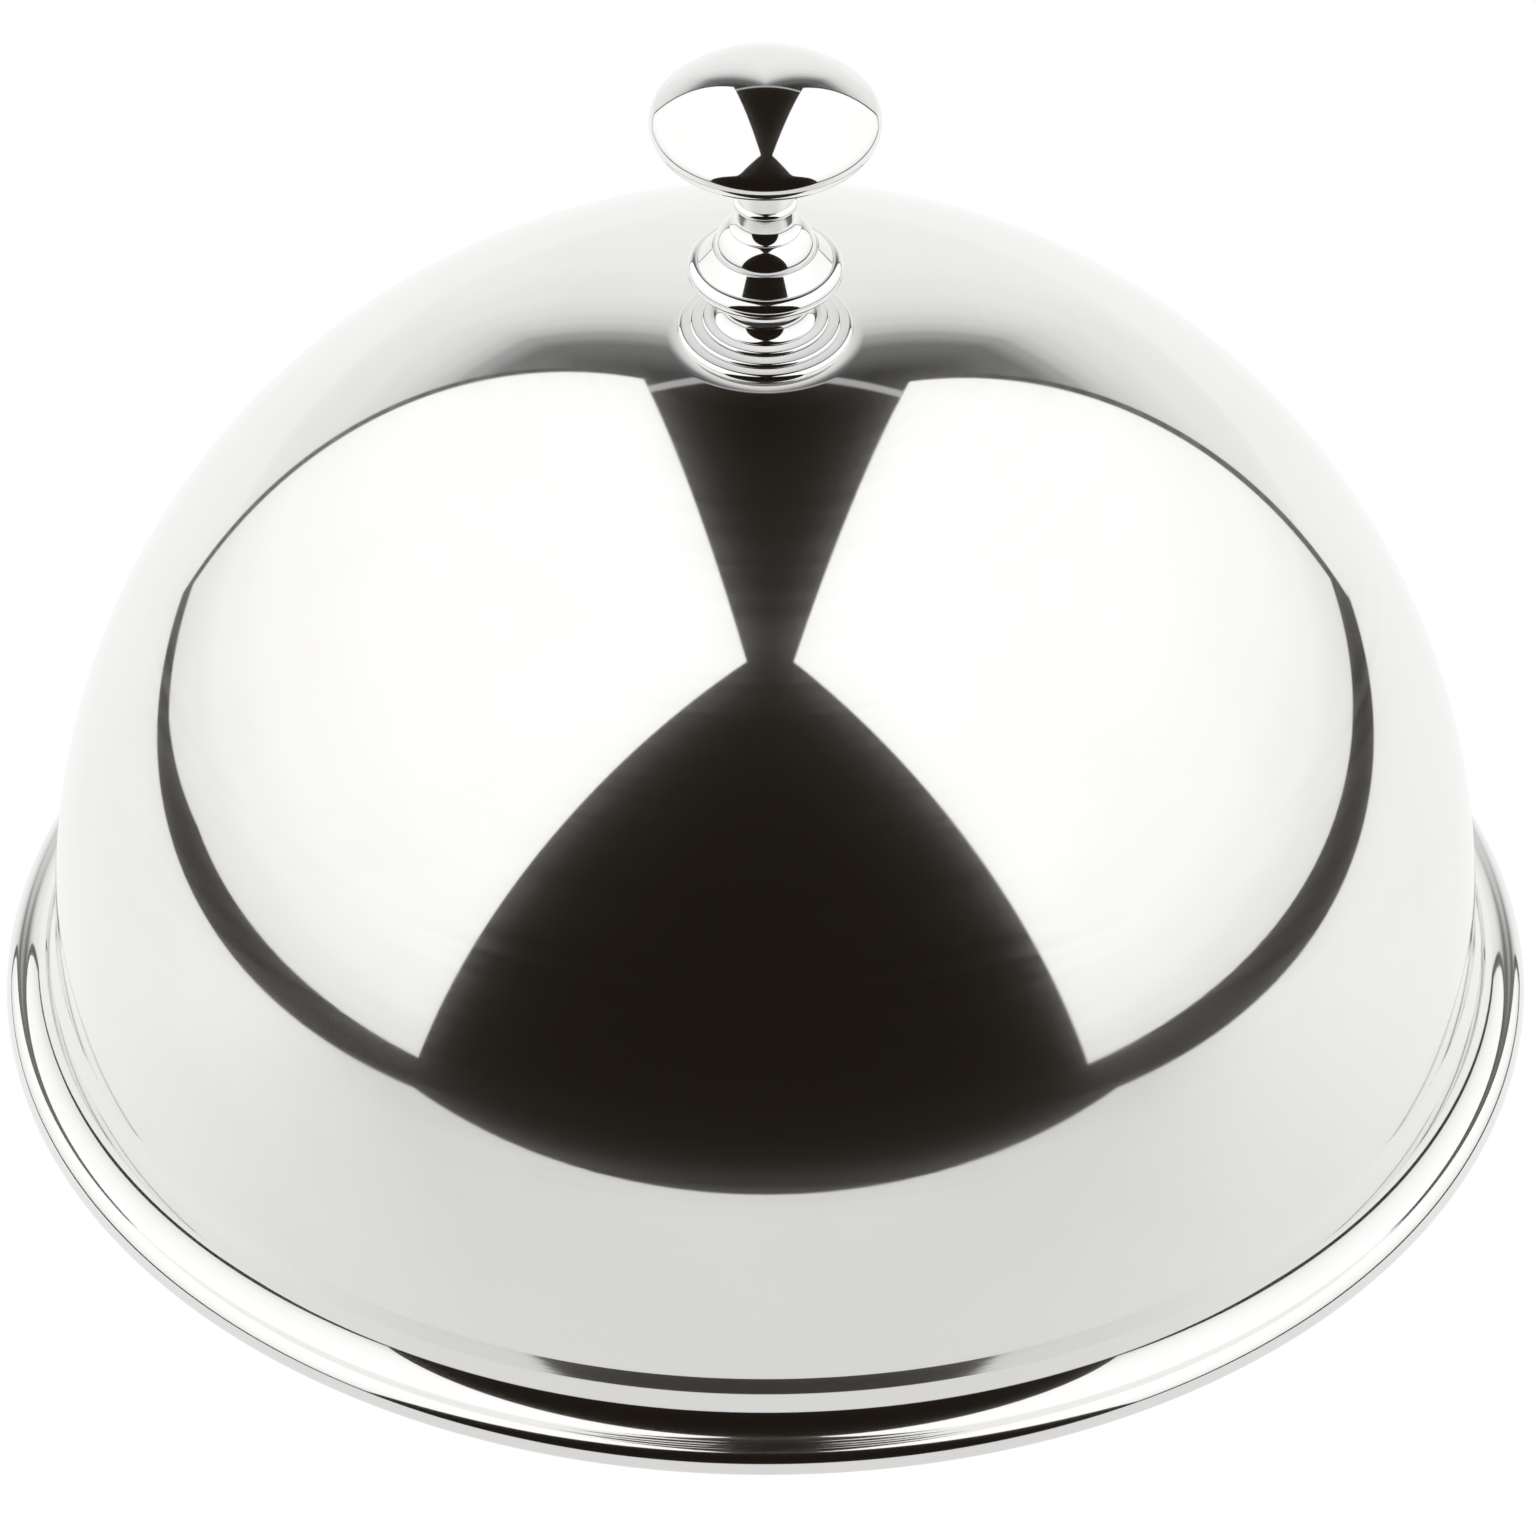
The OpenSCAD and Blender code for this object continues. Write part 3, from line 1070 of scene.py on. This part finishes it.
@dataclass
class Clamp:
    """The seal, the stud, the washers and the cap nut that hold the finial to the crown."""

    lathe: Lathe
    bender: BarBender
    finishes: Finishes
    seat_z: float
    sheet: float
    stud_high_z: float
    stud_r: float = 2.5
    thread_pitch: float = 0.8
    thread_depth: float = 0.42
    seal_r: float = 12.6
    seal_t: float = 0.6
    washer_r: float = 9.5
    washer_t: float = 1.2
    spring_r: float = 4.6
    spring_t: float = 1.2
    spring_gap: float = 0.7
    nut_flats: float = 8.0
    nut_hex_h: float = 4.0
    nut_wall_h: float = 1.8
    nut_dome_r: float = 3.8
    nut_chamfer: float = 0.42
    nut_mouth: float = 0.3
    stud_in_nut: float = 6.8
    end_clear: float = 0.8
    corner: float = 0.16
    segments: int = 144

    STUD_SEGMENTS = 48
    THREAD_ROWS = 8
    CHAMFER_ROWS = 7
    CHAMFER_IN = 0.1
    CHAMFER_OUT = 0.02
    SHARP = 50.0
    NUT_SHARP = 28.0

    def __post_init__(self) -> None:
        """Works out the heights of the clamp, from the crown downwards."""
        self.crown_z = self.seat_z - self.sheet
        self.washer_z = self.crown_z - self.washer_t
        self.nut_z = self.washer_z - self.spring_t
        self.stud_low_z = self.nut_z - self.stud_in_nut

    def ring(self, radius: float, low: float, high: float) -> Section:
        """Flat ring round the stud with eased edges."""
        s = Section().line((BORE_R, high), (radius, high), (radius, low))
        return s.line((BORE_R, low), (BORE_R, high)).softened(self.corner)

    def stud(self) -> Section:
        """Rod with bevelled ends; its rows are close enough to carry the thread.

        Returns:
            The half-section.
        """
        bevel = self.thread_depth
        low, high = self.stud_low_z, self.stud_high_z
        length = high - low - 2 * bevel
        rows = ceil(length / (self.thread_pitch / self.THREAD_ROWS))
        s = Section().line((0.0, high), (self.stud_r - bevel, high))
        for k in range(rows + 1):
            s.line((self.stud_r, high - bevel - length * k / rows), zone=Zone.THREAD)
        return s.line((self.stud_r - bevel, low), (0.0, low))

    def nut(self) -> Section:
        """Cap nut: blind bore, bevelled six-sided part, round wall and domed end.

        Returns:
            The half-section.
        """
        half = self.nut_flats / 2.0
        in_r = half - self.CHAMFER_IN
        out_r = half / cos(pi / Lathe.HEX_SIDES) + self.CHAMFER_OUT
        top, hex_low = self.nut_z, self.nut_z - self.nut_hex_h
        bore_low = self.stud_low_z - self.end_clear
        s = Section().line((0.0, bore_low), (BORE_R, bore_low), (BORE_R, top - self.nut_mouth))
        s.line((BORE_R + self.nut_mouth, top))
        shares = [k / self.CHAMFER_ROWS for k in range(self.CHAMFER_ROWS + 1)]
        for t in shares:
            s.line((in_r + (out_r - in_r) * t, top - self.nut_chamfer * t), zone=Zone.HEXAGON)
        for t in reversed(shares):
            s.line((in_r + (out_r - in_r) * t, hex_low + self.nut_chamfer * t), zone=Zone.HEXAGON)
        s.line((self.nut_dome_r, hex_low))
        return s.arc((0.0, hex_low - self.nut_wall_h), self.nut_dome_r, 0.0, -90.0, step=4.0)

    def build(self) -> None:
        """Makes the clamp's pieces and puts each on its body."""
        steel = self.finishes.fastener
        ring = self.ring(self.seal_r, self.seat_z, self.seat_z + self.seal_t)
        seal = self.lathe.spin("seal_soft_ring", ring, self.segments, self.finishes.seal)
        install(seal, "seal_washer", Body.DOME)
        stud = self.lathe.spin(
            "stud_threaded_rod", self.stud(), self.STUD_SEGMENTS, steel,
            thread_pitch=self.thread_pitch, thread_depth=self.thread_depth,
        )
        install(stud, "tie_stud", Body.FINIAL, self.SHARP)
        ring = self.ring(self.washer_r, self.washer_z, self.crown_z)
        washer = self.lathe.spin("wide_pressed_washer", ring, self.segments, steel)
        install(washer, "inner_washer", Body.WASHERS)
        bar_w = self.spring_r - BORE_R
        spring = self.bender.run(
            "split_spring_washer", bpy.data.meshes.new("spring_start"), material=steel,
            radius=BORE_R + bar_w / 2.0, height=self.washer_z - self.spring_t / 2.0,
            gap=self.spring_gap, bar_width=bar_w, bar_height=self.spring_t, edge_round=self.corner,
        )
        install(spring, "spring_washer", Body.WASHERS, self.SHARP)
        flats = self.nut_flats
        nut = self.lathe.spin("domed_cap_nut", self.nut(), self.segments, steel, across_flats=flats)
        install(nut, "cap_nut", Body.NUT, self.NUT_SHARP)


def oblong(low: Point, high: Point) -> Points:
    """Corners of an oblong, in order."""
    return (low, (high[0], low[1]), high, (low[0], high[1]))


@dataclass(frozen=True)
class Studio:
    """White table, two light panels that lean over it, a sweep behind and darkness in front; table
    and sweep glow with painted light.

    Sizes are in metres. A panel's corners are distances along the table and heights, in the plane
    that leans in from the table's side. Stops are places and levels of light.
    """

    left_panel: Points = (
        (-0.345, 0.043), (-0.418, 1.56), (0.640, 0.815), (0.357, 0.022), (0.19, 0.024),
        (0.05, 0.041),
    )
    right_panel: Points = (
        (-0.390, 0.050), (-0.385, 1.43), (0.582, 0.735), (0.345, 0.038)
    )
    panel_lean: float = 0.223
    panel_light: float = 1.2
    panel_stops: Points = (
        (0.03, 0.775), (0.07, 0.8), (0.11, 0.87), (0.18, 0.93), (0.34, 0.98), (0.8, 1.0)
    )
    frame_edge: float = 0.018
    frame_back: float = 0.003
    dark: Colour = (0.0122, 0.0090, 0.0060)
    sweep_distance: float = 1.4
    sweep_half: float = 2.4
    sweep_top: float = 1.83
    # Painted light: the sweep's glow fades towards a dark roof, and a pale rail glows near its top
    roof_span: float = 1.6
    roof_aside: float = 1.35
    roof_aside_most: float = 0.45
    painted_roof_stops: Points = (
        (0.3, 0.97), (0.5, 0.91), (0.59, 0.83), (0.655, 0.72),
        (0.7, 0.58), (0.74, 0.36), (0.81, 0.15), (1.0, 0.02)
    )
    rail_span: float = 2.0
    rail_stops: Points = ((0.853, 0.0), (0.864, 0.5), (0.9, 0.5), (0.91, 0.0))
    table_half: float = 0.4245
    table_front: float = -0.355
    table_back: float = 0.375
    table_edge: float = 0.004
    # Painted light: the table's glow in reflections, dimmer at the front near the cover and
    # brighter aside
    fall_start: float = 0.35
    fall_span: float = 0.6
    fall_aside: float = 0.45
    painted_light_stops: Points = ((0.0, 0.82), (0.37, 0.79), (0.73, 0.99), (1.0, 1.0))
    floor_half: float = 6.0
    floor_drop: float = 0.0002

    def _sheet(
        self, name: str, corners: Sequence[Place], material: Material, seen: bool = False
    ) -> Object:
        """Adds a flat sheet to the stage.

        Args:
            name: name of the sheet.
            corners: its corners in order.
            material: its finish.
            seen: whether the camera sees it.

        Returns:
            The sheet.
        """
        mesh = bpy.data.meshes.new(name)
        mesh.from_pydata(corners, [], [tuple(range(len(corners)))])
        mesh.materials.append(material)
        sheet = bpy.data.objects.new(name, mesh)
        bpy.context.scene.collection.objects.link(sheet)
        sheet.visible_camera = seen
        LOG.info("stage: %s", name)
        return sheet

    def _leaning(self, side: float, corners: Sequence[Point], back: float = 0.0) -> list[Place]:
        """Places corners in the plane that leans in from one side of the table, or behind it."""
        foot = self.table_half + back
        return [(side * (foot - self.panel_lean * z), y, z) for y, z in corners]

    def panels(self) -> None:
        """Adds the two leaning panels, weaker towards their lower edges, and their dark frames."""
        cloth, g = new_material("panel_cloth")
        _, _, high = g.split(g.place())
        g.end(g.light(WHITE, g.ramp(high, self.panel_stops) * self.panel_light))
        gloom, g = new_material("panel_frame_dark")
        g.end(g.light(self.dark))
        sides = (("left", -1.0, self.left_panel), ("right", 1.0, self.right_panel))
        for name, side, corners in sides:
            self._sheet("panel_" + name, self._leaning(side, corners), cloth)
            low_front, high_front, high_back, low_back = corners[:4]
            rim = (
                (low_front[0], 0.0),
                high_front,
                (high_back[0] + self.frame_edge, high_back[1]),
                (low_back[0] + self.frame_edge, 0.0),
            )
            frame = self._sheet("frame_" + name, self._leaning(side, rim, self.frame_back), gloom)
            frame.visible_diffuse = False
            frame.visible_shadow = False

    def sweep(self) -> None:
        """Adds the sweep behind, whose painted light fades towards the dark roof and ends in a pale
        rail.
        """
        material, g = new_material("sweep_painted_light")
        x, _, z = g.split(g.place())
        far = self.sweep_distance
        # Painted light: the sheet glows, fading upwards and aside towards a dark roof, with a pale
        # glowing rail
        aside = g.math("MINIMUM", abs(x) / far, self.roof_aside_most)
        roof = (z / far + aside * self.roof_aside) / self.roof_span
        rail = g.ramp(z / self.rail_span, self.rail_stops)
        g.end(g.light(WHITE, g.math("MAXIMUM", g.ramp(roof, self.painted_roof_stops), rail)))
        corners = oblong((-self.sweep_half, 0.0), (self.sweep_half, self.sweep_top))
        self._sheet("sweep_behind", [(x, far, z) for x, z in corners], material)

    def table(self) -> None:
        """Adds the white floor, which ends in painted darkness where the table's front and sides
        do.

        The camera sees plain white paper; from below the floor is clear. Other rays see painted
        light, dimmer at the front near the cover.
        """
        material, g = new_material("table_painted_light")
        x, along, _ = g.split(g.place())
        across = abs(x)
        # Painted darkness: the floor glows dark beyond the table's sides, front and back
        on_side = g.ramp((across - self.table_half) / self.table_edge, FADE_OUT)
        on_front = g.ramp((along - self.table_front) / self.table_edge, FADE_IN)
        behind = g.ramp((along - self.table_back) / self.table_edge, FADE_IN)
        painted_dark_mask = g.math("MAXIMUM", on_side, behind) * on_front
        # Painted light: the table glows brighter aside and dimmer at the front, standing in for the
        # panels' light on it
        reach = (along + across * self.fall_aside + self.fall_start) / self.fall_span
        paper = g.light(WHITE, g.ramp(reach, self.painted_light_stops))
        painted_light_floor = g.blend(painted_dark_mask, g.light(self.dark), paper)
        shown = g.to_camera(painted_light_floor, g.light(WHITE))
        back = g.node("ShaderNodeNewGeometry").outputs["Backfacing"]
        g.end(g.blend(back, shown, g.node("ShaderNodeBsdfTransparent")))
        half = self.floor_half
        corners = [(x, y, -self.floor_drop) for x, y in oblong((-half, -half), (half, half))]
        self._sheet("table_floor", corners, material, seen=True)

    def world(self) -> None:
        """Makes the surroundings white to the camera and dark in reflections."""
        world = bpy.data.worlds.new("studio")
        world.use_nodes = True
        bpy.context.scene.world = world
        g = Graph(world.node_tree)
        gloom, paper = (
            g.node("ShaderNodeBackground", {0: rgba(colour), 1: 1.0})
            for colour in (self.dark, WHITE)
        )
        g.end(g.to_camera(gloom, paper), "ShaderNodeOutputWorld")
        bpy.context.scene.view_settings.view_transform = "Standard"

    def build(self) -> None:
        """Sets the whole stage."""
        self.panels()
        self.sweep()
        self.table()
        self.world()


@dataclass(frozen=True)
class View:
    """The camera: a long lens that looks down on the cover from in front.

    Places are in metres, the lens and its sensor in millimetres.
    """

    place: Point = (-3.5258, 2.8644)
    aim_height: float = 0.0458
    aside: float = 0.0004
    lens: float = 673.0
    sensor: float = 36.0
    far: float = 60.0

    def build(self) -> None:
        """Puts the camera in the scene and makes it the one in use."""
        data = bpy.data.cameras.new("long_lens")
        data.sensor_fit = "HORIZONTAL"
        data.sensor_width = self.sensor
        data.lens = self.lens
        data.clip_end = self.far
        camera = bpy.data.objects.new("long_lens", data)
        bpy.context.scene.collection.objects.link(camera)
        camera.location = (self.aside, *self.place)
        look = Vector((self.aside, 0.0, self.aim_height)) - camera.location
        camera.rotation_euler = look.to_track_quat("-Z", "Y").to_euler()
        bpy.context.scene.camera = camera


def main() -> None:
    """Builds the object on its frame, then the stage and the camera."""
    logging.basicConfig(level=logging.INFO, format="%(name)s: %(message)s")
    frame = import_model()
    finishes = Finishes()
    lathe = Lathe()
    dome = DomeShell(lathe, finishes)
    dome.build()
    wire = frame["nodes"]["rim_wire"]
    wire.data.materials.clear()
    wire.data.materials.append(finishes.wire)
    LOG.info("rim_wire keeps its own shape, %d faces", len(wire.data.polygons))
    finial = Finial(lathe, finishes, dome.seat_z + Clamp.seal_t)
    finial.build()
    stud_high_z = finial.equator_z + finial.stud_top_z
    Clamp(lathe, BarBender(), finishes, dome.seat_z, dome.sheet, stud_high_z).build()
    Studio().build()
    View().build()


if __name__ == "__main__":
    main()
